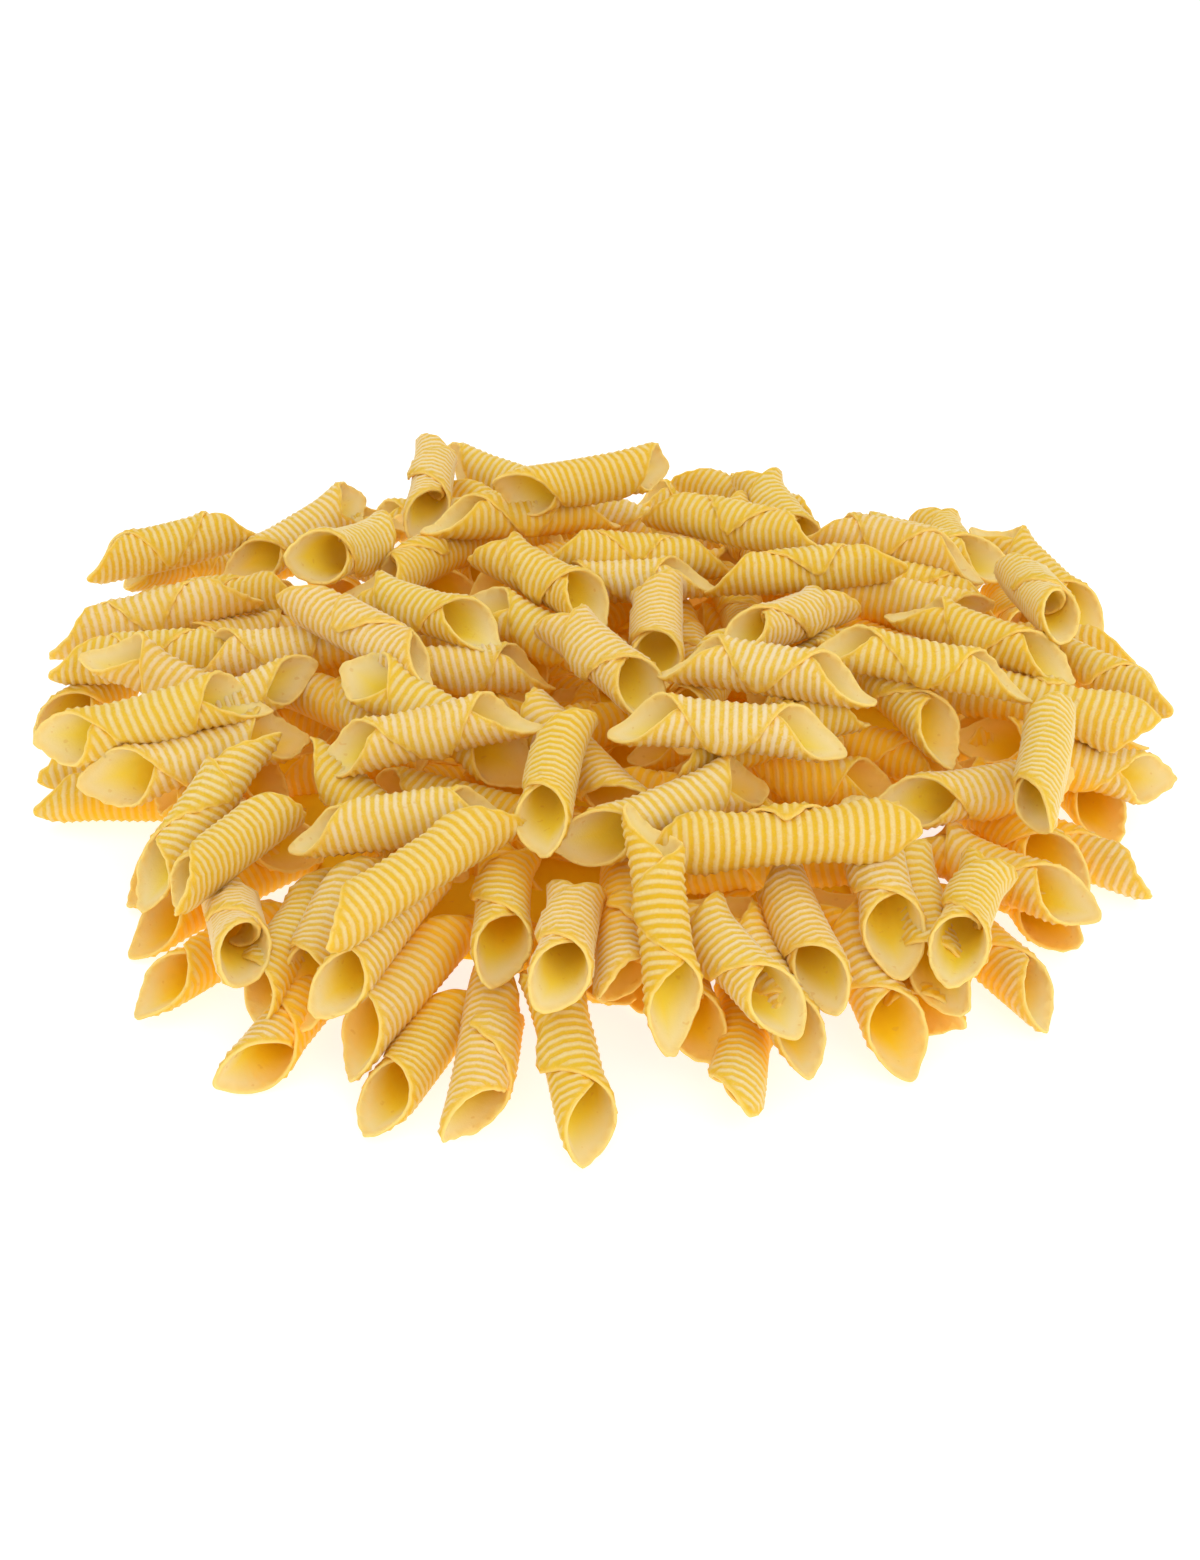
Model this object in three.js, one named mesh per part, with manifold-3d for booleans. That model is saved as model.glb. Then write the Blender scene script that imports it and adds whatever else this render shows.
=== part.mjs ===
// A loose heap of egg garganelli, lying on a bare surface.
//
// Each garganello is a square of ribbed egg dough, rolled corner to corner round a thin dowel, so
// that it is a tube with two pointed ends and open, spoon-like mouths. The heap is one solid: a low
// core with the pieces fused on, each with few sides, on a flat foot with six corners that carries
// it steadily. Units are millimetres, +Z is up, and -Y faces the viewer.
import * as THREE from 'three';
import { mergeVertices } from 'three/addons/utils/BufferGeometryUtils.js';
import Module from 'manifold-3d';

// One garganello.
const SHEET_SIDE = 40;
const TIP = SHEET_SIDE * Math.SQRT1_2;      // from the middle of the piece to either pointed end
const TUBE_RADIUS = 6.2;                    // outside, over the ribs and the outer flap
const ROLLED_RADIUS = 4.75;                 // middle of the dough, which sets how far it wraps
const MOUTH_DEPTH = 12;                     // from the tip to the bottom of the open mouth
const TUBE_SIDES = 7;
const MOST_SKEW = 0.22;                     // the sheet's turn on the dowel, in radians

// How the pieces lie in the heap.
const SEED = 438;
const HEAP_RADIUS = 146;
const HEAP_BACK = 4;                        // y of the layers' middle, behind the middle of the fan
const HALF_WIDTH = 139;                     // no tip lies farther to either side
const LYING_HEIGHT = 5.9;                   // of a piece's axis above what the lowest ones lie on
const CONTACT = 10.4;                       // between the axes of two pieces that touch
const GRIP = 22;                            // half of the length on which a piece rests
const MIDDLE = 4;                           // index of the middle one of the stations along it
const STATIONS = 2 * MIDDLE + 1;            // points where it can touch
const TRIES = 40;                           // places tried for a piece, of which the lowest is kept
const REACH = 23;                           // how far from its turn on the spiral a place may be
const STEEPNESS_COST = 14;                  // millimetres of height that a slope of 1 is worth
const LAYERS = [
  { pieces: 58, radius: 126, scatter: 0.4 },
  { pieces: 52, radius: 115, scatter: 0.5 },
  { pieces: 40, radius: 98, scatter: 0.6 },
  { pieces: 20, radius: 54, scatter: 0.8 },
];
const LAYER_TURN = 1.1;                     // of each layer's spiral on the one below, in radians
const GOLDEN_ANGLE = Math.PI * (3 - Math.sqrt(5));

// The front rim is a fan of single pieces that point at the viewer. Angles are in radians.
const FAN = {
  pieces: 11, radius: 152, from: -2.58, to: -0.56, jitter: 0.06, scatter: 0.24, unevenness: 0.15,
};
const FAN_SPREADS_FROM = 85;                // y of the point that the fan's pieces point away from
const FRONT = -72;                          // y at which pieces start to point outward
const FRONT_FADE = 48;                      // depth of the band where more and more of them do
const FRONT_MARGIN = 0.04;                  // share of the radius that the fan has to itself
const MIDDLE_HEADING = -0.3;                // of the pieces that lie across, in radians from +X
const LEAN = 0.004;                         // how much that changes for each mm of x
const CROSSWISE = 0.72;                     // and their scatter about it
const NESTING = 0.15;                       // how far a piece turns from its heading to lie lower
const STRAYS = 0.12;                        // share of pieces that lie at any angle

// The core under the pieces, and the foot below it, on which the heap stands.
const CORE_RADIUS = 116;
const CORE_RIM_HEIGHT = 5;
const CORE_HEIGHT = 23;
const CORE_SIDES = 28;
const CORE_STEPS = 4;
const FOOT_RADIUS = 110;
const FOOT_HEIGHT = 0.6;                    // by which the core and the pieces clear the surface
const FOOT_SIDES = 6;

const PASTA_COLOR = 0xdfb051;

// A small repeatable random number generator, so that the heap is the same each time.
class Dice {
  constructor(seed) {
    this.state = seed;
    for (let warmUp = 0; warmUp < 3; warmUp++) this.roll();
  }

  roll() {
    this.state = (this.state * 48271) % 2147483647;
    return this.state / 2147483647;
  }

  spread(half) {
    return (2 * this.roll() - 1) * half;
  }
}

const clamp01 = (value) => Math.min(1, Math.max(0, value));
const station = (index) => GRIP * (index / MIDDLE - 1);

// The height and slope at which a piece comes to rest on those already laid.
function rest(balls, x, y, heading) {
  const heights = [];
  for (let k = 0; k < STATIONS; k++) {
    const px = x + station(k) * Math.cos(heading);
    const py = y + station(k) * Math.sin(heading);
    let height = LYING_HEIGHT;
    for (const ball of balls) {
      const rise = CONTACT ** 2 - (ball.x - px) ** 2 - (ball.y - py) ** 2;
      if (rise > 0) height = Math.max(height, ball.z + Math.sqrt(rise));
    }
    heights.push(height);
  }
  let best = { height: -Infinity, slope: 0 };
  for (let i = 0; i < MIDDLE; i++) {
    for (let j = MIDDLE + 1; j < STATIONS; j++) {
      const slope = (heights[j] - heights[i]) / (station(j) - station(i));
      const height = heights[i] - slope * station(i);
      if (height > best.height) best = { height, slope };
    }
  }
  const tipsClear = LYING_HEIGHT + TIP * Math.abs(best.slope);
  return { height: Math.max(best.height, heights[MIDDLE], tipsClear), slope: best.slope };
}

// Lays one piece down and remembers where it can carry others.
function layDown(heap, dice, place) {
  const { x, y, heading, height, slope } = place;
  const pitch = Math.atan(slope);
  for (let k = 0; k < STATIONS; k++) {
    const along = station(k) * Math.cos(pitch);
    heap.balls.push({
      x: x + along * Math.cos(heading),
      y: y + along * Math.sin(heading),
      z: height + station(k) * Math.sin(pitch),
    });
  }
  const roll = dice.spread(Math.PI) * dice.roll();
  const skew = dice.spread(MOST_SKEW / 2) + dice.spread(MOST_SKEW / 2);
  heap.pieces.push({ x, y, z: height, heading, pitch, roll, skew });
}

// The fan of single pieces along the front rim, each with its outer tip near the rim.
function layFan(heap, dice) {
  for (let k = 0; k < FAN.pieces; k++) {
    const step = (FAN.to - FAN.from) / FAN.pieces;
    const angle = FAN.from + step * (k + 0.5) + dice.spread(FAN.jitter);
    const rim = FAN.radius * (1 - FAN.unevenness * dice.roll());
    const tip = { x: rim * Math.cos(angle), y: rim * Math.sin(angle) };
    const heading = Math.atan2(tip.y - FAN_SPREADS_FROM, tip.x) + dice.spread(FAN.scatter);
    const x = tip.x - TIP * Math.cos(heading);
    const y = tip.y - TIP * Math.sin(heading);
    layDown(heap, dice, { x, y, heading, ...rest(heap.balls, x, y, heading) });
  }
}

// One layer, spread over its disc by the golden angle.
function layLayer(heap, dice, layer, index) {
  for (let k = 0; k < layer.pieces; k++) {
    const angle = GOLDEN_ANGLE * (k + 0.5) + index * LAYER_TURN;
    const out = layer.radius * Math.sqrt((k + 0.5) / layer.pieces);
    const outward = dice.roll();
    const across = MIDDLE_HEADING + dice.spread(CROSSWISE) + dice.spread(CROSSWISE);
    const own = dice.roll() < STRAYS ? dice.spread(Math.PI / 2) : across;
    const splay = 2 * dice.spread(layer.scatter) * dice.roll();
    let best = null;
    for (let attempt = 0; attempt < TRIES; attempt++) {
      const x = out * Math.cos(angle) + dice.spread(REACH);
      const y = HEAP_BACK + out * Math.sin(angle) + dice.spread(REACH);
      const inFan = outward < (FRONT + FRONT_FADE / 2 - y) / FRONT_FADE;
      const aim = inFan ? Math.atan2(y - FAN_SPREADS_FROM, x) + splay : own - LEAN * x;
      const heading = aim + dice.spread(NESTING);
      const tipX = TIP * Math.cos(heading);
      const tipY = TIP * Math.sin(heading);
      const back = y - HEAP_BACK;
      const farthest = Math.max(Math.hypot(x + tipX, back + tipY), Math.hypot(x - tipX, back - tipY));
      const margin = FRONT_MARGIN * clamp01((FRONT - y) / FRONT_FADE);
      if (farthest > HEAP_RADIUS * (1 - margin)) continue;
      if (Math.abs(x) + Math.abs(tipX) > HALF_WIDTH) continue;
      const resting = rest(heap.balls, x, y, heading);
      const cost = resting.height + STEEPNESS_COST * Math.abs(resting.slope);
      if (!best || cost < best.cost) best = { cost, x, y, heading, ...resting };
    }
    if (best) layDown(heap, dice, best);
  }
}

function layHeap() {
  const heap = { balls: [], pieces: [] };
  const dice = new Dice(SEED);
  layFan(heap, dice);
  LAYERS.forEach((layer, index) => layLayer(heap, dice, layer, index));
  return heap.pieces;
}

// A closed tube along X whose ends are cut as the corners of the rolled sheet: the rim runs back
// from the tip with the angle turned, and a pocket goes in from it.
function garganello(skew) {
  const positions = [];
  const indices = [];
  const turn = skew * TIP / ROLLED_RADIUS;
  for (const end of [-1, 1]) {
    const tipAngle = -Math.PI / 2 + end * turn;
    for (let i = 0; i < TUBE_SIDES; i++) {
      const angle = -Math.PI / 2 + (2 * Math.PI * i) / TUBE_SIDES;
      const aside = Math.abs(Math.atan2(Math.sin(angle - tipAngle), Math.cos(angle - tipAngle)));
      const along = TIP - ROLLED_RADIUS * aside;
      positions.push(end * along, TUBE_RADIUS * Math.cos(angle), TUBE_RADIUS * Math.sin(angle));
    }
  }
  positions.push(MOUTH_DEPTH - TIP, 0, 0, TIP - MOUTH_DEPTH, 0, 0);
  const backCentre = 2 * TUBE_SIDES;
  const frontCentre = backCentre + 1;
  for (let i = 0; i < TUBE_SIDES; i++) {
    const next = (i + 1) % TUBE_SIDES;
    indices.push(i, TUBE_SIDES + next, TUBE_SIDES + i, i, next, TUBE_SIDES + next);
    indices.push(backCentre, next, i);
    indices.push(frontCentre, TUBE_SIDES + i, TUBE_SIDES + next);
  }
  const geometry = new THREE.BufferGeometry();
  geometry.setAttribute('position', new THREE.Float32BufferAttribute(positions, 3));
  geometry.setIndex(indices);
  return geometry;
}

// Puts a piece where it lies: rolled about its own axis, pitched, turned, then moved.
function placed(geometry, { x, y, z, heading, pitch, roll }) {
  const matrix = new THREE.Matrix4().makeTranslation(x, y, z + FOOT_HEIGHT);
  matrix.multiply(new THREE.Matrix4().makeRotationZ(heading));
  matrix.multiply(new THREE.Matrix4().makeRotationY(-pitch));
  matrix.multiply(new THREE.Matrix4().makeRotationX(roll));
  return geometry.applyMatrix4(matrix);
}

// A low dome with a flat underside.
function core() {
  const profile = [new THREE.Vector2(0, 0), new THREE.Vector2(CORE_RADIUS, 0)];
  for (let k = 0; k <= CORE_STEPS; k++) {
    const out = 1 - k / CORE_STEPS;
    const height = CORE_RIM_HEIGHT + (CORE_HEIGHT - CORE_RIM_HEIGHT) * (1 - out ** 2);
    profile.push(new THREE.Vector2(CORE_RADIUS * out, height));
  }
  return new THREE.LatheGeometry(profile, CORE_SIDES).rotateX(Math.PI / 2).translate(0, 0, FOOT_HEIGHT);
}

// The foot, which reaches up into the core.
function foot() {
  const plate = new THREE.CylinderGeometry(FOOT_RADIUS, FOOT_RADIUS, CORE_RIM_HEIGHT, FOOT_SIDES);
  return plate.rotateX(Math.PI / 2).translate(0, 0, CORE_RIM_HEIGHT / 2);
}

const wasm = await Module();
wasm.setup();

function toSolid(geometry) {
  geometry.deleteAttribute('normal');
  geometry.deleteAttribute('uv');
  const welded = mergeVertices(geometry, 1e-4);
  return new wasm.Manifold(new wasm.Mesh({
    numProp: 3,
    vertProperties: Float32Array.from(welded.attributes.position.array),
    triVerts: Uint32Array.from(welded.index.array),
  }));
}

// Fuses the solids and keeps the outer shell, so that no sealed hollow or loose scrap is left.
function fuse(solids) {
  const shells = wasm.Manifold.union(solids).decompose();
  return shells.reduce((largest, shell) => (shell.volume() > largest.volume() ? shell : largest));
}

function toGeometry(solid) {
  const mesh = solid.getMesh();
  const geometry = new THREE.BufferGeometry();
  geometry.setAttribute('position', new THREE.Float32BufferAttribute(mesh.vertProperties, 3));
  geometry.setIndex(Array.from(mesh.triVerts));
  geometry.computeVertexNormals();
  return geometry;
}

function heapMesh() {
  const pieces = layHeap().map((piece) => toSolid(placed(garganello(piece.skew), piece)));
  const heap = fuse([toSolid(core()), toSolid(foot()), ...pieces]);
  const material = new THREE.MeshStandardMaterial({
    color: PASTA_COLOR, roughness: 0.6, metalness: 0, flatShading: true,
  });
  const mesh = new THREE.Mesh(toGeometry(heap), material);
  mesh.name = 'egg_garganelli_heap';
  return mesh;
}

const part = new THREE.Group();
part.name = 'egg_garganelli';
part.add(heapMesh());

export default part;
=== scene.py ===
"""A loose heap of egg garganelli on a pale surface: rolled squares of ribbed egg dough.

Every garganello is one thin sheet, cut as a square with bmesh, given its ribs and then rolled
corner to corner. The heap is laid by the same rule as the solids, so each quill lies where its
plain solid lies. Lengths in the shape and heap code are millimetres, and Blender gets metres.
"""
import math

import bmesh
import bpy
import numpy as np
from mathutils import Matrix, Vector


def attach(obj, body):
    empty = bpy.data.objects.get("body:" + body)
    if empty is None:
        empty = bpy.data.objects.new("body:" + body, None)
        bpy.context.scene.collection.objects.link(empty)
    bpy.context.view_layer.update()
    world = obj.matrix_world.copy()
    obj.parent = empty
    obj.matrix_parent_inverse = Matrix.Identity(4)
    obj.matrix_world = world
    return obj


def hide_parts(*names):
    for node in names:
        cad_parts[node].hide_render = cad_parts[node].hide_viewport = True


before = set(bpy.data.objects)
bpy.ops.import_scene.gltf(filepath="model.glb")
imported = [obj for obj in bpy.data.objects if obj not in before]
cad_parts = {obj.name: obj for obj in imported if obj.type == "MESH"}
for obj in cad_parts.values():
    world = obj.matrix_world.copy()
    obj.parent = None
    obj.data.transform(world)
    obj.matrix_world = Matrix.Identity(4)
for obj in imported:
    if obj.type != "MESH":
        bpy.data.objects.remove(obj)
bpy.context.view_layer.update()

bl_info = {
    "name": "Egg garganelli heap",
    "version": (1, 0, 0),
    "blender": (4, 5, 0),
    "location": "3D View > Sidebar > Garganelli",
    "description": "Rolls ribbed egg garganelli and lays them as a loose heap",
    "category": "Object",
}

HEAP_NODE = "egg_garganelli_heap"
METRES = 0.001

# How the pieces lie, in millimetres and radians, as in the part's source.
TUBE_WRAP_RADIUS = 4.75        # middle of the rolled dough, which sets how far it wraps
MOST_SKEW = 0.22               # angle by which a sheet is rolled off its diagonal, at most
LYING_HEIGHT = 5.9             # of a piece's axis, where it lies on the surface
CLEARANCE = 0.05               # of the lowest point of a piece above the surface
CONTACT = 10.4                 # between the axes of two pieces that touch
GRIP = 22.0                    # a piece rests on others up to this far from its middle
MIDDLE = 4                     # the station at a piece's middle, with as many on each side
STATIONS = GRIP * (np.arange(2 * MIDDLE + 1) / MIDDLE - 1)
TRIES = 40                     # places that are tried for each piece
REACH = 23.0                   # how far a try may be from the piece's own place, each way
STEEPNESS_COST = 14.0          # a slope of 1 is as bad as this much height
HEAP_BACK = 4.0                # y of the layers' middle, behind the middle of the fan
HALF_WIDTH = 139.0             # no tip lies farther to either side
LAYERS = (
    {"pieces": 58, "radius": 126.0, "scatter": 0.4},
    {"pieces": 52, "radius": 115.0, "scatter": 0.5},
    {"pieces": 40, "radius": 98.0, "scatter": 0.6},
    {"pieces": 20, "radius": 54.0, "scatter": 0.8},
)
LAYER_TURN = 1.1               # from each layer to the next
GOLDEN_ANGLE = math.pi * (3 - math.sqrt(5))
FAN = {
    "pieces": 11, "radius": 152.0, "from": -2.58, "to": -0.56,
    "jitter": 0.06, "scatter": 0.24, "unevenness": 0.15,
}
FAN_SPREADS_FROM = 85.0        # y of the point that the pieces of the fan point away from
FRONT = -72.0                  # y in front of which most pieces point at the viewer
FRONT_FADE = 48.0              # depth over which that comes in
FRONT_MARGIN = 0.04            # share of the radius that the layers stay back there, behind the fan
MIDDLE_HEADING = -0.3          # of the pieces that lie across
LEAN = 0.004                   # turn for each millimetre to the right
CROSSWISE = 0.72               # how far the pieces that lie across stray from that heading
NESTING = 0.15                 # turn that a try may add, to nest with its neighbours
STRAYS = 0.12                  # share of pieces that lie anyhow

# Each kind of garganello is one joined mesh with a finish of its own.
KINDS = {
    "golden": {"dough": (0.80, 0.490, 0.022), "crest": (0.88, 0.705, 0.34), "flour": 0.35},
    "straw": {"dough": (0.80, 0.515, 0.032), "crest": (0.88, 0.72, 0.38), "flour": 0.45},
    "floury": {"dough": (0.815, 0.520, 0.060), "crest": (0.89, 0.72, 0.42), "flour": 0.75},
    "amber": {"dough": (0.80, 0.470, 0.017), "crest": (0.88, 0.69, 0.31), "flour": 0.30},
    "tan": {"dough": (0.81, 0.500, 0.060), "crest": (0.885, 0.69, 0.39), "flour": 0.60},
}


# ---------------------------------------------------------------- what a user would change

class GarganelloSizes(bpy.types.PropertyGroup):
    """The sizes of one garganello."""

    sheet_side: bpy.props.FloatProperty(
        name="Sheet side", description="Side of the square of dough, before it is rolled",
        default=0.040, min=0.02, max=0.08, unit="LENGTH")
    thickness: bpy.props.FloatProperty(
        name="Dough thickness", description="Thickness of the dough between its ribs",
        default=0.0011, min=0.0005, max=0.003, unit="LENGTH")
    rib_pitch: bpy.props.FloatProperty(
        name="Rib pitch", description="From one rib to the next",
        default=0.0021, min=0.001, max=0.005, unit="LENGTH")
    rib_height: bpy.props.FloatProperty(
        name="Rib height", description="How far a rib stands above the dough",
        default=0.00045, min=0.0, max=0.001, unit="LENGTH")
    bore_radius: bpy.props.FloatProperty(
        name="Bore radius", description="Radius of the hollow that the dowel leaves, midway round",
        default=0.0041, min=0.002, max=0.008, unit="LENGTH")
    spiral: bpy.props.FloatProperty(
        name="Spiral", description="How much the radius grows in one turn",
        default=0.0012, min=0.0005, max=0.003, unit="LENGTH")


class HeapSizes(bpy.types.PropertyGroup):
    """The size of the heap and the draw that lays it."""

    radius: bpy.props.FloatProperty(
        name="Heap radius", description="Radius that the tips stay within, apart from the front fan's",
        default=0.146, min=0.06, max=0.4, unit="LENGTH")
    seed: bpy.props.IntProperty(
        name="Seed", description="Start of the random draw that lays the pieces",
        default=438, min=1)
    unevenness: bpy.props.FloatProperty(
        name="Unevenness", description="How much the pieces differ from each other in shape",
        default=1.0, min=0.0, max=2.0)


class PastaColours(bpy.types.PropertyGroup):
    """Colours that all kinds share. Each kind's own dough and crest colours are in KINDS."""

    inside: bpy.props.FloatVectorProperty(
        name="Inside", description="The smooth inner face near an open end",
        default=(0.895, 0.715, 0.31), size=3, min=0, max=1, subtype="COLOR")
    # painted shade and glow: the saturated golden that stands for the shaded bore lit through its thin
    # walls
    deep: bpy.props.FloatVectorProperty(
        name="Deep inside", description="The smooth inner face deep in the bore",
        default=(0.93, 0.70, 0.022), size=3, min=0, max=1, subtype="COLOR")
    # painted shade: the saturated amber that stands for the shade deep in the gaps between the pieces
    gap: bpy.props.FloatVectorProperty(
        name="In the gaps", description="Dough deep in the gaps between the pieces, which glows amber",
        default=(0.98, 0.52, 0.010), size=3, min=0, max=1, subtype="COLOR")
    lip: bpy.props.FloatVectorProperty(
        name="Lip", description="The thin edge of the dough",
        default=(0.95, 0.72, 0.24), size=3, min=0, max=1, subtype="COLOR")
    tip: bpy.props.FloatVectorProperty(
        name="Tip", description="The thin pointed ends, which are yellower",
        default=(0.84, 0.55, 0.05), size=3, min=0, max=1, subtype="COLOR")
    flour: bpy.props.FloatVectorProperty(
        name="Flour", description="Dry flour on the ribs",
        default=(0.95, 0.74, 0.42), size=3, min=0, max=1, subtype="COLOR")
    speck: bpy.props.FloatVectorProperty(
        name="Speck", description="Small darker specks in the dough",
        default=(0.72, 0.36, 0.05), size=3, min=0, max=1, subtype="COLOR")


class StageSettings(bpy.types.PropertyGroup):
    """The surface, the lights and the camera."""

    floor: bpy.props.FloatVectorProperty(
        name="Surface", description="Colour of the surface that the heap lies on",
        default=(0.50, 0.50, 0.50), size=3, min=0, max=1, subtype="COLOR")
    sky: bpy.props.FloatProperty(
        name="Sky", description="Strength of the soft light from all round",
        default=0.91, min=0.0, max=5.0)
    key: bpy.props.FloatProperty(
        name="Key light", description="Power of the large light above, in watts",
        default=0.55, min=0.0, max=200.0)
    fill: bpy.props.FloatProperty(
        name="Fill light", description="Power of the light from the viewer's side, in watts",
        default=1.6, min=0.0, max=200.0)
    elevation: bpy.props.FloatProperty(
        name="Elevation", description="How far the camera looks down",
        default=math.radians(32.0), min=0.0, max=math.pi / 2, subtype="ANGLE")
    distance: bpy.props.FloatProperty(
        name="Distance", description="From the camera to the middle of the heap",
        default=0.592, min=0.1, max=5.0, unit="LENGTH")
    lens: bpy.props.FloatProperty(
        name="Focal length", description="Of the camera, in millimetres",
        default=55.9, min=10.0, max=200.0)


def millimetres(length):
    """A length property in millimetres, without the rounding noise of its single precision."""
    return round(length / METRES, 4)


# ---------------------------------------------------------------- laying the heap

class Dice:
    """A small repeatable random number generator, the same as in the part's source."""

    def __init__(self, seed):
        self.state = seed
        for _ in range(3):
            self.roll()

    def roll(self):
        self.state = self.state * 48271 % 2147483647
        return self.state / 2147483647

    def spread(self, half):
        return (2 * self.roll() - 1) * half


class Heap:
    """The pieces laid so far, and the points on which the next ones can rest."""

    def __init__(self, radius, tip, seed):
        self.radius = radius
        self.tip = tip
        self.dice = Dice(seed)
        self.pieces = []
        self.balls = np.zeros((0, 3))

    def rest(self, x, y, heading):
        """The height and slope at which a piece comes to rest on those already laid."""
        across = self.balls[:, 0] - (x + STATIONS * math.cos(heading))[:, None]
        along = self.balls[:, 1] - (y + STATIONS * math.sin(heading))[:, None]
        rise = CONTACT ** 2 - across ** 2 - along ** 2
        tops = np.where(rise > 0, self.balls[:, 2] + np.sqrt(np.maximum(rise, 0)), LYING_HEIGHT)
        heights = np.maximum(LYING_HEIGHT, tops.max(axis=1, initial=LYING_HEIGHT)).tolist()
        best = (-math.inf, 0.0)
        for i in range(MIDDLE):
            for j in range(MIDDLE + 1, len(STATIONS)):
                slope = (heights[j] - heights[i]) / float(STATIONS[j] - STATIONS[i])
                height = heights[i] - slope * float(STATIONS[i])
                if height > best[0]:
                    best = (height, slope)
        clear_tips = LYING_HEIGHT + self.tip * abs(best[1])
        return max(best[0], heights[MIDDLE], clear_tips), best[1]

    def lay_down(self, x, y, heading, height, slope):
        """Lays one piece down and remembers where it can carry others."""
        pitch = math.atan(slope)
        along = STATIONS * math.cos(pitch)
        spots = np.stack([
            x + along * math.cos(heading),
            y + along * math.sin(heading),
            height + STATIONS * math.sin(pitch),
        ], axis=1)
        self.balls = np.concatenate([self.balls, spots])
        roll = self.dice.spread(math.pi) * self.dice.roll()
        skew = self.dice.spread(MOST_SKEW / 2) + self.dice.spread(MOST_SKEW / 2)
        self.pieces.append({
            "x": x, "y": y, "z": height, "heading": heading, "pitch": pitch,
            "roll": roll, "skew": skew,
        })

    def lay_fan(self):
        """The fan of single pieces along the front rim, each with its outer tip near the rim."""
        step = (FAN["to"] - FAN["from"]) / FAN["pieces"]
        for k in range(FAN["pieces"]):
            angle = FAN["from"] + step * (k + 0.5) + self.dice.spread(FAN["jitter"])
            rim = FAN["radius"] * (1 - FAN["unevenness"] * self.dice.roll())
            tip_x, tip_y = rim * math.cos(angle), rim * math.sin(angle)
            outward = math.atan2(tip_y - FAN_SPREADS_FROM, tip_x)
            heading = outward + self.dice.spread(FAN["scatter"])
            x = tip_x - self.tip * math.cos(heading)
            y = tip_y - self.tip * math.sin(heading)
            self.lay_down(x, y, heading, *self.rest(x, y, heading))

    def lay_layer(self, layer, index):
        """One layer, spread over its disc by the golden angle."""
        for k in range(layer["pieces"]):
            angle = GOLDEN_ANGLE * (k + 0.5) + index * LAYER_TURN
            out = layer["radius"] * math.sqrt((k + 0.5) / layer["pieces"])
            outward = self.dice.roll()
            across = MIDDLE_HEADING + self.dice.spread(CROSSWISE) + self.dice.spread(CROSSWISE)
            own = self.dice.spread(math.pi / 2) if self.dice.roll() < STRAYS else across
            splay = 2 * self.dice.spread(layer["scatter"]) * self.dice.roll()
            best = None
            for _ in range(TRIES):
                x = out * math.cos(angle) + self.dice.spread(REACH)
                y = HEAP_BACK + out * math.sin(angle) + self.dice.spread(REACH)
                in_fan = outward < (FRONT + FRONT_FADE / 2 - y) / FRONT_FADE
                aim = math.atan2(y - FAN_SPREADS_FROM, x) + splay if in_fan else own - LEAN * x
                heading = aim + self.dice.spread(NESTING)
                tip_x, tip_y = self.tip * math.cos(heading), self.tip * math.sin(heading)
                back = y - HEAP_BACK
                farthest = max(
                    math.hypot(x + tip_x, back + tip_y), math.hypot(x - tip_x, back - tip_y))
                margin = FRONT_MARGIN * min(1, max(0, (FRONT - y) / FRONT_FADE))
                too_wide = abs(x) + abs(tip_x) > HALF_WIDTH
                if farthest > self.radius * (1 - margin) or too_wide:
                    continue
                height, slope = self.rest(x, y, heading)
                cost = height + STEEPNESS_COST * abs(slope)
                if best is None or cost < best[0]:
                    best = (cost, x, y, heading, height, slope)
            if best:
                self.lay_down(*best[1:])

    def lay_all(self):
        self.lay_fan()
        for index, layer in enumerate(LAYERS):
            self.lay_layer(layer, index)
        return self.pieces


# ---------------------------------------------------------------- one sheet of dough

ROWS_PER_RIB = 4
COLUMNS = 24                   # of vertices along a rib
LOW_ROWS_PER_RIB = 2           # the inner face is smooth and needs fewer
LOW_COLUMNS = 20
ROW_CROWDING = 0.30            # how far rows of vertices crowd towards the crests, in radians of phase
MARGIN = 0.4                   # how far the uncut dough reaches past the sheet's corners
NEAR_CUT = 1e-4                # vertices as near as this to a cut lie on it
CORNER_RADIUS = 2.8
CORNER_CUTS = (-30, -15, 0, 15, 30)     # directions of the cuts that round a corner, in degrees
EDGE_SOFTNESS = 1.8            # width over which the dough thins towards its edge
RIB_FADE = (0.2, 1.0)          # ribs start this far from the edge, and are full this much further in
RIB_SHARPNESS = 1.5            # above 1, a rib is narrower than the groove beside it
INNER_RIB = 0.06               # how far the ribs show on the smooth inner face
BEND = 0.35                    # how far a sheet's lines wander in long waves
WAVINESS = (0.12, 0.14)        # and in short ones, along the piece and across it
RAGGED_WIDTH = 3.0             # of the uneven strip along the edges
END_FLARE = (6, 24)            # an end opens from this far from the middle, and over this length
LOOSE_FLAP = (14, 14)          # the flap lifts in the same way
END_DROOP = (14, 14)           # and an end droops


def smooth(value):
    """The usual smooth step from 0 to 1."""
    value = np.clip(value, 0, 1)
    return value * value * (3 - 2 * value)


def risen(value, rise):
    """From 0 where a value is at the rise's start to 1 where it is the rise's length past it."""
    start, length = rise
    return smooth((value - start) / length)


def trim(sheet, direction, distance):
    """Cuts off what lies further than distance from the middle in a direction."""
    normal = Vector((math.cos(direction), math.sin(direction), 0))
    everything = sheet.verts[:] + sheet.edges[:] + sheet.faces[:]
    bmesh.ops.bisect_plane(
        sheet, geom=everything, plane_co=normal * distance, plane_no=normal,
        clear_outer=True, dist=NEAR_CUT)


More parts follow.
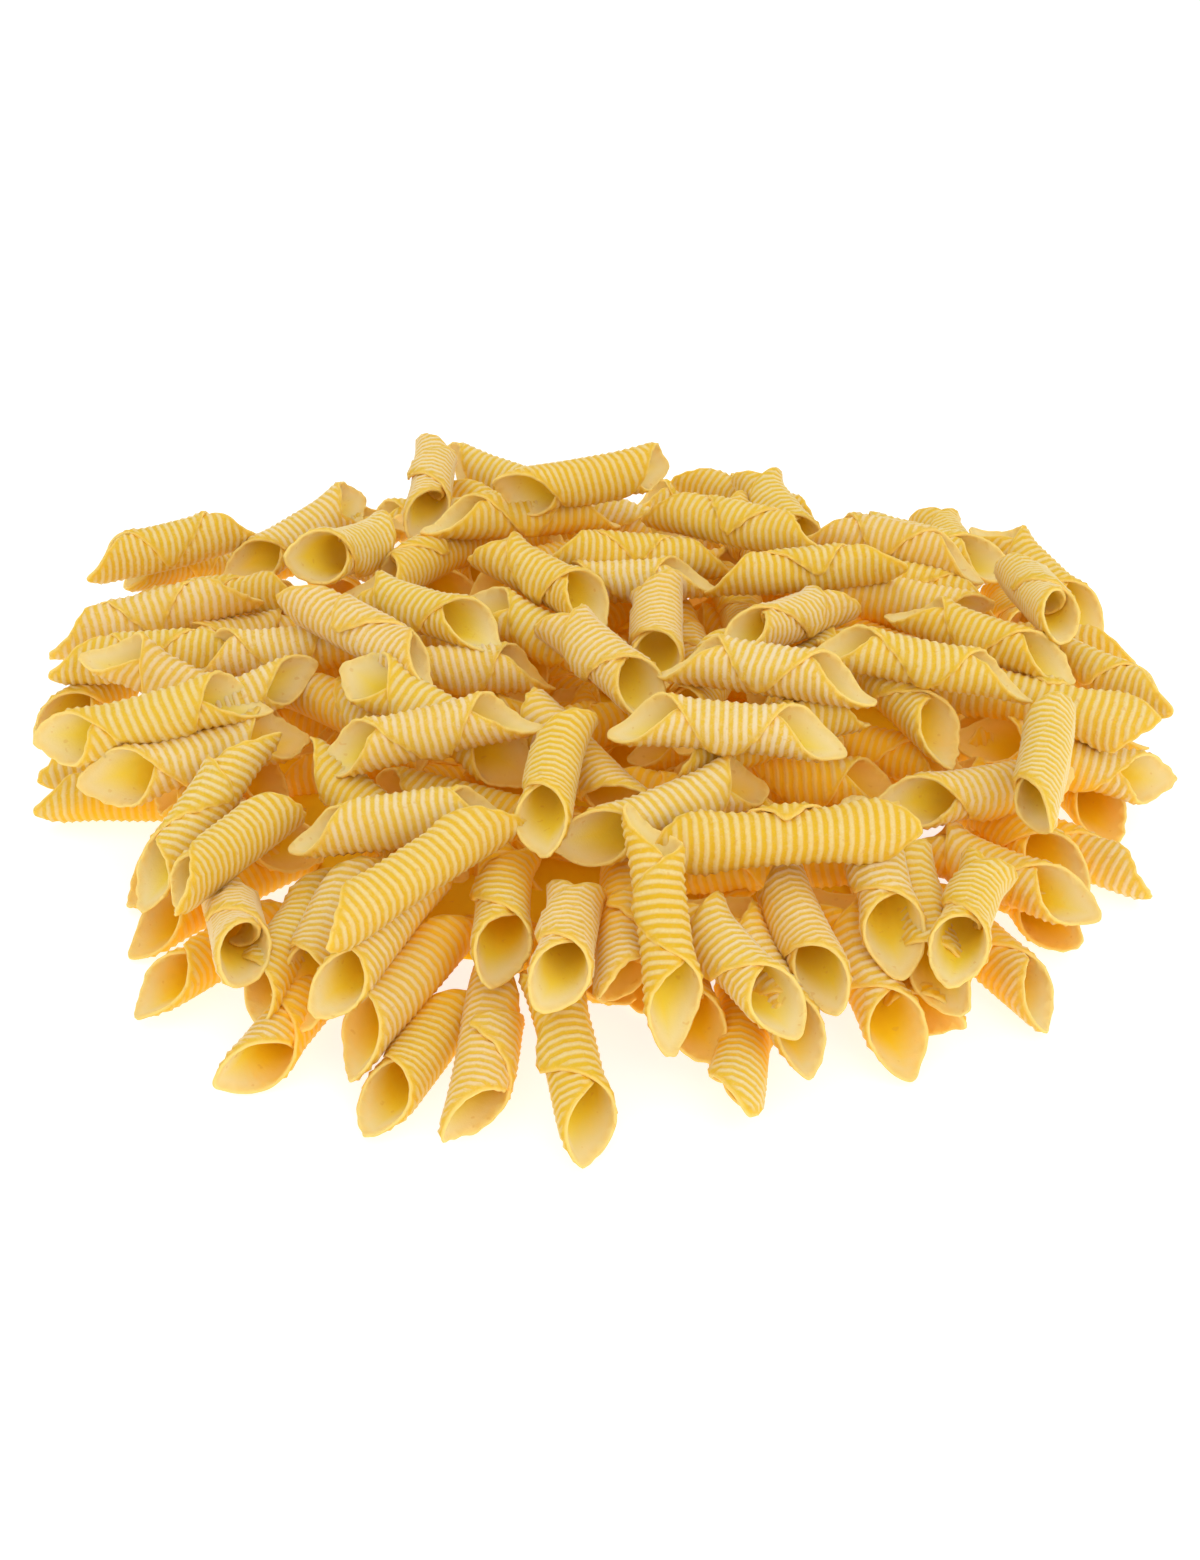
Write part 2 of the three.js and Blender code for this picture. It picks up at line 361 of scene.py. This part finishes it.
def cut_face(sizes, rows_per_rib, columns, level):
    """One face of the sheet: a square standing on its corner, with rows of vertices along the ribs."""
    side = millimetres(sizes.sheet_side)
    pitch = millimetres(sizes.rib_pitch)
    tip = side * math.sqrt(0.5)
    ribs = round(2 * (tip + MARGIN) / pitch)
    face = bmesh.new()
    bmesh.ops.create_grid(face, x_segments=ribs * rows_per_rib, y_segments=columns, size=1.0)
    bmesh.ops.scale(face, vec=(ribs * pitch / 2, tip + MARGIN, 1), verts=face.verts)
    for vert in face.verts:
        phase = 2 * math.pi * vert.co.x / pitch
        vert.co.x -= ROW_CROWDING * math.sin(phase) * pitch / (2 * math.pi)
    for quarter in range(4):
        trim(face, math.radians(45 + 90 * quarter), side / 2)
        for aside in CORNER_CUTS:
            reach = (tip - CORNER_RADIUS * math.sqrt(2)) * math.cos(math.radians(aside))
            trim(face, math.radians(90 * quarter + aside), reach + CORNER_RADIUS)
    bmesh.ops.translate(face, vec=(0, 0, level), verts=face.verts)
    return face


def flat_sheet(sizes):
    """The closed flat sheet: its ribbed face at height 1, its smooth face at 0, and the rim between."""
    low = cut_face(sizes, LOW_ROWS_PER_RIB, LOW_COLUMNS, 0)
    bmesh.ops.reverse_faces(low, faces=low.faces)
    sheet = bpy.data.meshes.new("flat_sheet")
    low.to_mesh(sheet)
    low.free()
    both = cut_face(sizes, ROWS_PER_RIB, COLUMNS, 1)
    both.from_mesh(sheet)
    rims = [edge for edge in both.edges if edge.is_boundary]
    bmesh.ops.bridge_loops(both, edges=rims)
    many_sided = [face for face in both.faces if len(face.verts) > 4]
    bmesh.ops.triangulate(both, faces=many_sided)
    both.to_mesh(sheet)
    both.free()
    return sheet


class RolledShape:
    """Turns the flat sheet's points into those of a rolled garganello, in millimetres."""

    def __init__(self, sizes, sheet, unevenness):
        self.thickness = millimetres(sizes.thickness)
        self.pitch = millimetres(sizes.rib_pitch)
        self.rib_height = millimetres(sizes.rib_height)
        self.bore = millimetres(sizes.bore_radius)
        self.spiral = millimetres(sizes.spiral)
        self.tip = millimetres(sizes.sheet_side) * math.sqrt(0.5)
        self.unevenness = unevenness
        points = np.zeros(len(sheet.vertices) * 3)
        sheet.vertices.foreach_get("co", points)
        self.u, self.v, self.side = points.reshape(-1, 3).T.copy()
        half = self.tip * math.sqrt(0.5)
        to_sides = half - np.maximum(np.abs(self.u + self.v), np.abs(self.u - self.v)) * math.sqrt(0.5)
        roundest = self.tip - CORNER_RADIUS * (math.sqrt(2) - 1)
        to_corners = roundest - np.maximum(np.abs(self.u), np.abs(self.v))
        self.edge = np.maximum(0, np.minimum(to_sides, to_corners))
        wave = 0.5 + 0.5 * np.cos(2 * math.pi * self.u / self.pitch)
        self.crest = wave ** RIB_SHARPNESS * risen(self.edge, RIB_FADE)

    def draw(self, random):
        """How one piece differs from the next."""
        much = self.unevenness
        return {
            "long": 1 + much * random.uniform(-0.09, 0.02),
            "wide": 1 + much * random.uniform(-0.07, 0.02),
            "wobble": random.uniform(0, 2 * math.pi, 4),
            "flare": much * random.uniform(0.40, 1.05, 2),
            "lift": much * max(0.0, random.normal(0.3, 0.6)),
            "fat": 1 + much * random.uniform(-0.05, 0.08),
            "droop": much * random.uniform(-0.6, 1.2, 2),
            "oval": 1 + much * random.uniform(-0.05, 0.06),
            "bow": much * random.normal(0, 0.8),
            "bow_side": random.uniform(0, 2 * math.pi),
            "dent": much * random.uniform(0, 0.35),
            "ragged": much * random.uniform(0.03, 0.20),
        }

    def roll_up(self, skew, piece):
        """The piece along X with its pointed ends down, before it is laid."""
        wobble = piece["wobble"]
        u = self.u * math.cos(skew) - self.v * math.sin(skew)
        v = self.u * math.sin(skew) + self.v * math.cos(skew)
        u = u * piece["long"] + BEND * np.sin(v * 0.35 + wobble[0])
        u = u + WAVINESS[0] * np.sin(v * 1.1 + wobble[2])
        v = v * piece["wide"] + BEND * np.sin(u * 0.30 + wobble[1])
        v = v + WAVINESS[1] * np.sin(u * 0.9 + wobble[3])
        ragged = piece["ragged"] * (1 - smooth(self.edge / RAGGED_WIDTH))
        u = u + ragged * np.sin(self.v * 2.3 + wobble[1])
        v = v + ragged * np.sin(self.u * 1.9 + wobble[0])
        thinning = 0.50 + 0.50 * smooth(self.edge / EDGE_SOFTNESS)
        outer = self.thickness * thinning + self.rib_height * self.crest
        depth = np.where(self.side > 0.5, outer, INNER_RIB * self.crest)
        from_middle = np.abs(u)
        flare = np.where(u > 0, piece["flare"][0], piece["flare"][1])
        flare = 1 + flare * risen(from_middle, END_FLARE)
        wrap = v / (TUBE_WRAP_RADIUS * flare)
        turns = v / (2 * math.pi * TUBE_WRAP_RADIUS)
        lift = piece["lift"] * risen(v, LOOSE_FLAP) ** 1.5
        dent = piece["dent"] * np.sin(u * 0.16 + wobble[0]) * np.cos(wrap + wobble[1])
        radius = self.bore * flare * piece["fat"] + self.spiral * turns + depth + lift + dent
        droop = np.where(u > 0, piece["droop"][0], piece["droop"][1])
        droop = droop * risen(from_middle, END_DROOP)
        bow = piece["bow"] * (1 - (u / self.tip) ** 2)
        y = radius * np.sin(wrap) * piece["oval"] + bow * math.sin(piece["bow_side"])
        z = (flare - 1) * TUBE_WRAP_RADIUS - radius * np.cos(wrap) / piece["oval"]
        z = z - droop + bow * math.cos(piece["bow_side"])
        return np.stack([u, y, z], axis=1)


def turned(points, first, second, angle):
    """Points turned by an angle in the plane of two axes, from the first towards the second."""
    cosine, sine = math.cos(angle), math.sin(angle)
    result = points.copy()
    result[:, first] = points[:, first] * cosine - points[:, second] * sine
    result[:, second] = points[:, first] * sine + points[:, second] * cosine
    return result


def laid(points, place):
    """A rolled piece put where it lies: rolled about its own axis, pitched, turned, then moved."""
    points = turned(points, 1, 2, place["roll"])
    points = turned(points, 0, 2, place["pitch"])
    points = turned(points, 0, 1, place["heading"])
    points = points + np.array([place["x"], place["y"], place["z"]])
    lowest = points[:, 2].min()
    if lowest < CLEARANCE or place["z"] == LYING_HEIGHT:
        points[:, 2] += CLEARANCE - lowest
    return points


COVER_CELL = 2.0               # of the grid that holds the heap's height
COVER_REACH = 6                # cells that the height is averaged over, each way
PAINTED_SHADE_BELOW = 1.0            # depth under the heap's mean height at which the painted shade starts
PAINTED_SHADE_FULL = 12.0           # and over which it becomes full


class Cover:
    """The mean height of the heap's top around each place, which tells what lies deep in a gap, where shade
    is painted.
    """

    def __init__(self, heap):
        self.half = int(heap.radius / COVER_CELL) + 2 * COVER_REACH
        tops = np.zeros((2 * self.half, 2 * self.half))
        width = int(LYING_HEIGHT / COVER_CELL)
        for right in range(-width, width + 1):
            for back in range(-width, width + 1):
                away = COVER_CELL * math.hypot(right, back)
                crown = math.sqrt(max(0.0, LYING_HEIGHT ** 2 - away ** 2))
                column, row = self.cells(heap.balls)
                np.maximum.at(tops, (column + right, row + back), heap.balls[:, 2] + crown)
        span = range(-COVER_REACH, COVER_REACH + 1)
        for axis in (0, 1):
            tops = sum(np.roll(tops, step, axis) for step in span) / len(span)
        self.mean_tops = tops

    def cells(self, points):
        inner = np.clip(points[:, :2] / COVER_CELL + self.half, COVER_REACH, 2 * self.half - COVER_REACH)
        return inner.astype(int).T

    def painted_shade_depth_at(self, points):
        """How much painted shade a point gets: from 0 on the outside of the heap to 1 deep in its gaps."""
        column, row = self.cells(points)
        return smooth((self.mean_tops[column, row] - points[:, 2] - PAINTED_SHADE_BELOW) / PAINTED_SHADE_FULL)


# ---------------------------------------------------------------- materials

class Wire:
    """A shader socket that can be used in Python expressions. Each operation adds a Math node."""

    def __init__(self, recipe, socket):
        self.recipe = recipe
        self.socket = socket

    def _math(self, operation, *values):
        node = self.recipe.add("ShaderNodeMath", {"operation": operation}, dict(enumerate(values)))
        return node["Value"]

    def __add__(self, other):
        return self._math("ADD", self, other)

    def __radd__(self, other):
        return self._math("ADD", other, self)

    def __sub__(self, other):
        return self._math("SUBTRACT", self, other)

    def __rsub__(self, other):
        return self._math("SUBTRACT", other, self)

    def __mul__(self, other):
        return self._math("MULTIPLY", self, other)

    def __rmul__(self, other):
        return self._math("MULTIPLY", other, self)

    def cosine(self):
        return self._math("COSINE", self)

    def clamped(self, low=0.0, high=1.0):
        return self._math("MINIMUM", self._math("MAXIMUM", self, low), high)

    def between(self, low, high):
        """A smooth step from 0 at low to 1 at high, which may be the lower of the two."""
        node = self.recipe.add(
            "ShaderNodeMapRange", {"interpolation_type": "SMOOTHSTEP"},
            {"Value": self, "From Min": low, "From Max": high})
        return node["Result"]


class Added:
    """A node that was added, whose outputs are wires."""

    def __init__(self, recipe, node):
        self.recipe = recipe
        self.node = node

    def __getitem__(self, name):
        enabled = [socket for socket in self.node.outputs if socket.enabled and socket.name == name]
        return Wire(self.recipe, enabled[0])


class Recipe:
    """A material's node tree."""

    def __init__(self, name):
        self.material = bpy.data.materials.new(name)
        self.material.use_nodes = True
        self.tree = self.material.node_tree
        self.tree.nodes.clear()

    def add(self, kind, settings=None, inputs=None):
        """Adds a node, sets it, and then fills its sockets with values or links."""
        node = self.tree.nodes.new(kind)
        for name, value in (settings or {}).items():
            setattr(node, name, value)
        for key, value in (inputs or {}).items():
            if isinstance(key, int):
                socket = node.inputs[key]
            else:
                socket = [one for one in node.inputs if one.enabled and one.name == key][0]
            if isinstance(value, Wire):
                self.tree.links.new(value.socket, socket)
            else:
                socket.default_value = value
        return Added(self, node)

    def blend(self, share, first, second):
        """A colour between two colours, each an RGB triple or a wire."""
        first, second = (
            value if isinstance(value, Wire) else (*value, 1.0) for value in (first, second))
        node = self.add(
            "ShaderNodeMix", {"data_type": "RGBA", "clamp_factor": True},
            {"Factor": share, "A": first, "B": second})
        return node["Result"]

    def noise(self, where, scale, detail=1.0, roughness=0.5):
        """A cloudy value from 0 to 1. Scale is in repeats for each metre, detail in octaves."""
        node = self.add(
            "ShaderNodeTexNoise", {},
            {"Vector": where, "Scale": scale, "Detail": detail, "Roughness": roughness})
        return node["Fac"]

    def attribute(self, name):
        """A value that each point of the mesh carries under a name."""
        return self.add("ShaderNodeAttribute", {"attribute_name": name})["Fac"]


# The patterns of the dough, in repeats for each metre.
CLOUDS = 95.0                  # where the flour lies thicker
WANDER = 260.0                 # of the ribs
LUMPS = 420.0
SPECKS = 620.0
FLOUR = 900.0
GRAIN = 2600.0
PAINTED_GLOW = (0.070, 0.031, 0.0)     # painted glow deep in the bores and gaps, standing in for light that comes through the thin dough
SCATTER_DEPTH = 0.0018         # how far red light travels inside the dough, in metres
SCATTER_COLOUR = (1.0, 0.60, 0.20)     # the share of that for red, green and blue
RELIEF_DEPTH = 0.00018         # of the fine relief, in metres


def dough_material(name, kind, colours, pitch):
    """Dried egg dough: golden between the ribs, floury on them, yellower and thinner at its edges, with
    painted shade in its grooves, its bores and the gaps between pieces, and a painted glow deep in the
    bores and gaps.
    """
    recipe = Recipe(name)
    where = recipe.add("ShaderNodeTexCoord")["Object"]
    across_ribs = recipe.attribute("across_ribs")
    edge = recipe.attribute("to_edge")
    outside = recipe.attribute("outside")
    shade = recipe.attribute("shade")
    floury = recipe.attribute("floury")
    # painted shade and glow: 0 on the outside of the heap, 1 deep in its gaps
    painted_shade_depth = recipe.attribute("painted_shade_depth")

    cloudy = recipe.noise(where, CLOUDS, 2.0, 0.55)
    fine = recipe.noise(where, FLOUR, 2.0, 0.65)
    grain = recipe.noise(where, GRAIN, 1.0, 0.6)
    wander = recipe.noise(where, WANDER)

    phase = across_ribs * (2 * math.pi / pitch) + (wander - 0.5) * 0.7 + (fine - 0.5) * 0.9
    wave = phase.cosine() * 0.5 + 0.5
    rib = wave.between(0.18, 0.92) * edge.between(0.4, 1.6)
    flour_share = (floury * 0.55 + cloudy.between(0.38, 0.68) * 0.45) * kind["flour"]
    # painted shade: the flour thins out deep in the gaps between the pieces
    flour_share = flour_share * (1 - 0.85 * painted_shade_depth)
    # pale crests against darker grooves: partly flour on the ribs, partly painted shade in the grooves;
    # deep in the gaps the crests fade as painted shade
    crest_flour_and_painted_shade = rib * (0.68 + 0.6 * flour_share) * (0.35 + 0.75 * fine + 0.65 * grain)
    crest_flour_and_painted_shade = (crest_flour_and_painted_shade * (1 - 0.6 * painted_shade_depth)).clamped()

    dough = recipe.blend(shade * 0.55 + cloudy * 0.25, kind["dough"], colours.tip)
    dough = recipe.blend(flour_share * fine.between(0.42, 0.66) * 0.55, dough, colours.flour)
    # painted shade: deep in the gaps the dough turns to the amber of the gap colour
    dough = recipe.blend(painted_shade_depth * 0.85, dough, colours.gap)
    ribbed = recipe.blend(crest_flour_and_painted_shade, dough, kind["crest"])
    # painted light and shade on the inner face: pale near an open end, saturated golden deep in the bore,
    # and amber deep in the gaps
    inner = recipe.blend(edge.between(1.5, 9.0), colours.inside, colours.deep)
    inner = recipe.blend(painted_shade_depth * 0.5, inner, colours.gap)
    inner = recipe.blend((cloudy * 0.15 + grain * 0.10) * (1 - painted_shade_depth), inner, kind["crest"])
    colour = recipe.blend(outside, inner, ribbed)
    near_edge = 1 - edge.between(0.2, 2.6)
    colour = recipe.blend(near_edge * 0.35, colour, colours.tip)
    colour = recipe.blend((1 - edge.between(0.0, 0.7)) * 0.6, colour, colours.lip)
    specks = recipe.noise(where, SPECKS, 1.0, 0.4).between(0.70, 0.76)
    colour = recipe.blend(specks * 0.30, colour, colours.speck)
    # flour dust, which fades out deep in the gaps as painted shade
    dust = grain.between(0.62, 0.72) * (0.25 + 0.5 * flour_share) * (1 - painted_shade_depth) * outside
    colour = recipe.blend(dust * 0.5, colour, colours.flour)

    lumps = recipe.noise(where, LUMPS)
    height = fine * 0.35 + grain * 0.25 + rib * outside * 0.9 + lumps * 0.5
    # painted glow: deep in the gaps and deep in the bores
    painted_glow_share = painted_shade_depth * 0.7 + (1 - outside) * edge.between(3.0, 11.0) * (1 - painted_shade_depth) * 0.6
    glow = recipe.blend(painted_glow_share.clamped(), (0, 0, 0), PAINTED_GLOW)
    bump = recipe.add(
        "ShaderNodeBump", {}, {"Strength": 0.70, "Distance": RELIEF_DEPTH, "Height": height})
    shader = recipe.add("ShaderNodeBsdfPrincipled", {"subsurface_method": "BURLEY"}, {
        "Base Color": colour,
        "Roughness": (0.50 + 0.16 * flour_share + 0.10 * fine).clamped(),
        "Normal": bump["Normal"],
        "IOR": 1.45,
        "Specular IOR Level": 0.09,
        "Subsurface Weight": 0.35,
        "Subsurface Radius": SCATTER_COLOUR,
        "Subsurface Scale": SCATTER_DEPTH,
        "Emission Color": glow,
        "Emission Strength": 1.0,
    })
    recipe.material.cycles.emission_sampling = "NONE"      # the painted glow is too faint to light the scene
    recipe.add("ShaderNodeOutputMaterial", {}, {"Surface": shader["BSDF"]})
    return recipe.material


SURFACE_GLOW = 0.72            # a lit table, as under product photographs
SURFACE_SHADE = (0.47, 0.47, 0.47)     # mixed faintly into its colour, here and there


def surface_material(colour):
    """The plain pale surface under the heap, with the least unevenness of a real one."""
    recipe = Recipe("pale_surface")
    where = recipe.add("ShaderNodeTexCoord")["Object"]
    faint = recipe.noise(where, 6.0, 2.0)
    shader = recipe.add("ShaderNodeBsdfPrincipled", {}, {
        "Base Color": recipe.blend(faint * 0.04, tuple(colour), SURFACE_SHADE),
        "Roughness": 0.85,
        "Specular IOR Level": 0.2,
        "Emission Color": (1.0, 1.0, 1.0, 1.0),
        "Emission Strength": SURFACE_GLOW,
    })
    recipe.add("ShaderNodeOutputMaterial", {}, {"Surface": shader["BSDF"]})
    return recipe.material


# ---------------------------------------------------------------- operators

def link(obj):
    """Puts a new object into the scene and hands it back."""
    bpy.context.scene.collection.objects.link(obj)
    return obj


def joined_sheets(name, sheet, count):
    """A mesh of several copies of the flat sheet, one after the other."""
    joined = bmesh.new()
    for _ in range(count):
        joined.from_mesh(sheet)
    for face in joined.faces:
        face.smooth = True
    mesh = bpy.data.meshes.new(name)
    joined.to_mesh(mesh)
    joined.free()
    return mesh


def add_point_values(mesh, name, values):
    """Gives each point of a mesh a value that its material can read."""
    attribute = mesh.attributes.new(name, "FLOAT", "POINT")
    attribute.data.foreach_set("value", np.asarray(values, np.float32))


FIRST_SEED = 1000              # of the draws that make the pieces of the first kind uneven


class GARGANELLI_OT_roll_kind(bpy.types.Operator):
    """Rolls the garganelli of one kind and lays them in the heap"""

    bl_idname = "garganelli.roll_kind"
    bl_label = "Roll one kind of garganelli"

    kind: bpy.props.EnumProperty(
        name="Kind", description="Which finish of dough",
        items=[(kind, kind.capitalize(), f"The {kind} pieces") for kind in KINDS])

    def execute(self, context):
        scene = context.scene
        sizes = scene.garganello_sizes
        number = list(KINDS).index(self.kind)
        sheet = flat_sheet(sizes)
        shape = RolledShape(sizes, sheet, scene.heap_sizes.unevenness)
        heap = Heap(millimetres(scene.heap_sizes.radius), shape.tip, scene.heap_sizes.seed)
        places = heap.lay_all()[number::len(KINDS)]
        random = np.random.default_rng(FIRST_SEED + number)

        name = f"garganelli_{self.kind}"
        mesh = joined_sheets(name, sheet, len(places))
        pieces = [laid(shape.roll_up(place["skew"], shape.draw(random)), place) for place in places]
        points = np.concatenate(pieces)
        mesh.vertices.foreach_set("co", (points * METRES).ravel())
        # how deep each point lies in the heap's gaps, which sets its painted shade and glow
        add_point_values(mesh, "painted_shade_depth", Cover(heap).painted_shade_depth_at(points))
        add_point_values(mesh, "across_ribs", np.tile(shape.u, len(places)))
        add_point_values(mesh, "to_edge", np.tile(shape.edge, len(places)))
        add_point_values(mesh, "outside", np.tile(shape.side, len(places)))
        for own in ("shade", "floury"):
            add_point_values(mesh, own, np.repeat(random.uniform(0, 1, len(places)), len(shape.u)))
        mesh.update()
        bpy.data.meshes.remove(sheet)

        pitch = millimetres(sizes.rib_pitch)
        mesh.materials.append(dough_material(
            f"{self.kind}_dough", KINDS[self.kind], scene.pasta_colours, pitch))
        garganelli = link(bpy.data.objects.new(name, mesh))
        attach(garganelli, "root")
        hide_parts(HEAP_NODE)
        return {"FINISHED"}


CORE_RINGS = 24
CORE_SECTORS = 48
CORE_HEIGHT = 9.0              # of the scene's own core, in millimetres
CORE_SHARE = 0.56              # of the heap's radius
CORE_WAVE = 0.03               # share of its radius by which its outline wanders
CORE_LOBES = 5
CORE_INSIDE = 10               # its points count as this far from any edge, in millimetres


class GARGANELLI_OT_fill_core(bpy.types.Operator):
    """Makes the low core under the pieces, in dough colours painted with the amber shade and glow of the
    deepest gaps, so that no gap goes right through
    """

    bl_idname = "garganelli.fill_core"
    bl_label = "Fill the core"

    def execute(self, context):
        scene = context.scene
        radius = millimetres(scene.heap_sizes.radius) * CORE_SHARE
        core = bmesh.new()
        bmesh.ops.create_uvsphere(core, u_segments=CORE_SECTORS, v_segments=CORE_RINGS, radius=1)
        everything = core.verts[:] + core.edges[:] + core.faces[:]
        bmesh.ops.bisect_plane(
            core, geom=everything, plane_co=(0, 0, 0), plane_no=(0, 0, 1),
            clear_inner=True, dist=NEAR_CUT)
        bmesh.ops.holes_fill(core, edges=[edge for edge in core.edges if edge.is_boundary])
        for vert in core.verts:
            angle = math.atan2(vert.co.y, vert.co.x)
            reach = radius * (1 + CORE_WAVE * math.sin(CORE_LOBES * angle))
            vert.co = Vector((reach * vert.co.x, reach * vert.co.y, CLEARANCE + CORE_HEIGHT * vert.co.z))
        bmesh.ops.recalc_face_normals(core, faces=core.faces)
        for face in core.faces:
            face.smooth = len(face.verts) <= 4
        mesh = bpy.data.meshes.new("garganelli_core")
        core.to_mesh(mesh)
        core.free()
        # painted shade and glow: the core takes the colours and the glow of the deepest gaps and bores
        painted_shade_core = {
            "painted_shade_depth": 1, "to_edge": CORE_INSIDE, "outside": 0, "across_ribs": 0, "shade": 0, "floury": 0}
        for name, value in painted_shade_core.items():
            add_point_values(mesh, name, [value] * len(mesh.vertices))
        mesh.transform(Matrix.Scale(METRES, 4))
        pitch = millimetres(scene.garganello_sizes.rib_pitch)
        mesh.materials.append(dough_material("core_painted_shade_and_glow", KINDS["amber"], scene.pasta_colours, pitch))
        core = link(bpy.data.objects.new("garganelli_core", mesh))
        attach(core, "root")
        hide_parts(HEAP_NODE)
        return {"FINISHED"}


FLOOR_HALF = 3.0               # metres
KEY_LIGHT = {"place": (-0.35, 0.30, 0.95), "size": 0.55}       # in metres
FILL_LIGHT = {"place": (0.55, -0.75, 0.65), "size": 0.90}
TARGET = Vector((0, 0, 0.02))  # what the lights are aimed at
AIM_ABOVE_ORIGIN = 0.0029      # radians between the line of sight and the heap's middle


def add_light(name, place, size, power):
    """A large round light, aimed at the heap."""
    light = bpy.data.lights.new(name, "AREA")
    light.shape = "DISK"
    light.size = size
    light.energy = power
    lamp = link(bpy.data.objects.new(name, light))
    lamp.location = place
    lamp.rotation_euler = (TARGET - Vector(place)).to_track_quat("-Z", "Y").to_euler()


def add_camera(settings):
    """The camera, at the angle from which the heap was photographed."""
    camera = bpy.data.cameras.new("camera")
    camera.sensor_width = 36.0
    camera.lens = settings.lens
    camera.clip_start = 0.01
    viewer = link(bpy.data.objects.new("camera", camera))
    down = settings.elevation - AIM_ABOVE_ORIGIN
    viewer.location = (0, -settings.distance * math.cos(down), settings.distance * math.sin(down))
    viewer.rotation_euler = (math.pi / 2 - settings.elevation, 0, 0)
    bpy.context.scene.camera = viewer


class GARGANELLI_OT_set_stage(bpy.types.Operator):
    """Makes the surface, the soft lights and the camera"""

    bl_idname = "garganelli.set_stage"
    bl_label = "Set the stage"

    def execute(self, context):
        settings = context.scene.stage_settings
        ground = bmesh.new()
        bmesh.ops.create_grid(ground, x_segments=2, y_segments=2, size=FLOOR_HALF)
        mesh = bpy.data.meshes.new("surface")
        ground.to_mesh(mesh)
        ground.free()
        mesh.materials.append(surface_material(settings.floor))
        link(bpy.data.objects.new("surface", mesh))

        world = bpy.data.worlds.new("soft_light_all_round")
        world.use_nodes = True
        sky = world.node_tree.nodes["Background"]
        sky.inputs["Color"].default_value = (1.0, 1.0, 1.0, 1.0)
        sky.inputs["Strength"].default_value = settings.sky
        context.scene.world = world
        add_light("key_light", **KEY_LIGHT, power=settings.key)
        add_light("fill_light", **FILL_LIGHT, power=settings.fill)
        add_camera(settings)
        context.scene.view_settings.view_transform = "Standard"
        return {"FINISHED"}


class GARGANELLI_PT_heap(bpy.types.Panel):
    """The sizes, the colours and the steps that make the heap"""

    bl_idname = "GARGANELLI_PT_heap"
    bl_label = "Egg garganelli"
    bl_space_type = "VIEW_3D"
    bl_region_type = "UI"
    bl_category = "Garganelli"

    def draw(self, context):
        scene = context.scene
        groups = (scene.garganello_sizes, scene.heap_sizes, scene.pasta_colours, scene.stage_settings)
        for group in groups:
            box = self.layout.box()
            for name in group.__annotations__:
                box.prop(group, name)
        for kind in KINDS:
            self.layout.operator(GARGANELLI_OT_roll_kind.bl_idname, text=f"Roll {kind}").kind = kind
        self.layout.operator(GARGANELLI_OT_fill_core.bl_idname)
        self.layout.operator(GARGANELLI_OT_set_stage.bl_idname)


PROPERTIES = {
    "garganello_sizes": GarganelloSizes,
    "heap_sizes": HeapSizes,
    "pasta_colours": PastaColours,
    "stage_settings": StageSettings,
}
CLASSES = (
    *PROPERTIES.values(), GARGANELLI_OT_roll_kind, GARGANELLI_OT_fill_core, GARGANELLI_OT_set_stage,
    GARGANELLI_PT_heap)


def register():
    for cls in CLASSES:
        bpy.utils.register_class(cls)
    for name, group in PROPERTIES.items():
        setattr(bpy.types.Scene, name, bpy.props.PointerProperty(type=group))


def unregister():
    for name in PROPERTIES:
        delattr(bpy.types.Scene, name)
    for cls in reversed(CLASSES):
        bpy.utils.unregister_class(cls)


def main():
    register()
    for kind in KINDS:
        bpy.ops.garganelli.roll_kind(kind=kind)
    bpy.ops.garganelli.fill_core()
    bpy.ops.garganelli.set_stage()


if __name__ == "__main__":
    main()
